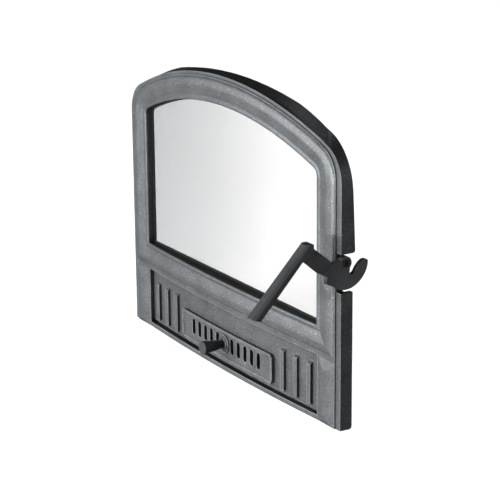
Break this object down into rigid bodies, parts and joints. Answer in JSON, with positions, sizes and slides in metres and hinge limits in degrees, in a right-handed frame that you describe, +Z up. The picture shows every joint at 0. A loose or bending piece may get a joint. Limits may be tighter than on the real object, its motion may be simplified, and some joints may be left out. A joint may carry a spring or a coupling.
{
  "type": "cast iron stove door",
  "caption": "Arched cast iron stove door with a glass window, hook latch lever, air slider and knob, hung on two rear knuckles.",
  "frame": {"origin": "on the hinge axis, at the foot of the lower knuckle behind the left edge of the door", "axes": "+Z up along the hinge axis, +X along the door's width towards the latch, -Y out of the face towards the user"},
  "size_m": [0.4015, 0.1225, 0.3006],
  "materials": {
    "leaf_iron": "satin grey stove paint over a fine sand-cast grain",
    "lever_iron": "satin black",
    "pane_glass": "polished, clear",
    "gasket_tape": "black glass fibre tape",
    "clip_steel": "zinc plated",
    "screw_steel": "plated, slightly oiled",
    "pivot_steel": "blackened",
    "slider_steel": "plain rolled sheet, dull",
    "knob_steel": "turned steel, satin black"
  },
  "bodies": {
    "leaf": {"door_leaf": "leaf_iron", "glass_pane": "pane_glass", "glass_gasket": "gasket_tape", "glass_clip_upper_left": "clip_steel", "glass_clip_upper_right": "clip_steel", "glass_clip_lower_left": "clip_steel", "glass_clip_lower_right": "clip_steel", "clip_screw_upper_left": "screw_steel", "clip_screw_upper_right": "screw_steel", "clip_screw_lower_left": "screw_steel", "clip_screw_lower_right": "screw_steel", "slider_washer_left": "clip_steel", "slider_washer_right": "clip_steel", "slider_screw_left": "screw_steel", "slider_screw_right": "screw_steel", "pivot_screw": "pivot_steel", "pivot_washer": "clip_steel"},
    "latch": {"latch_lever": "lever_iron"},
    "slider": {"air_slider": "slider_steel", "slider_knob": "knob_steel", "knob_washer": "knob_steel", "knob_screw": "screw_steel"}
  },
  "joints": [
    {"name": "latch_turn", "type": "hinge", "parent": "leaf", "child": "latch", "pos_m": [0.3855, -0.0138, 0.1387], "axis": [1, 0, 0], "range_deg": [-25, 38]},
    {"name": "air_slide", "type": "slide", "parent": "leaf", "child": "slider", "axis": [1, 0, 0], "range_m": [-0.0062, 0.0062]}
  ]
}
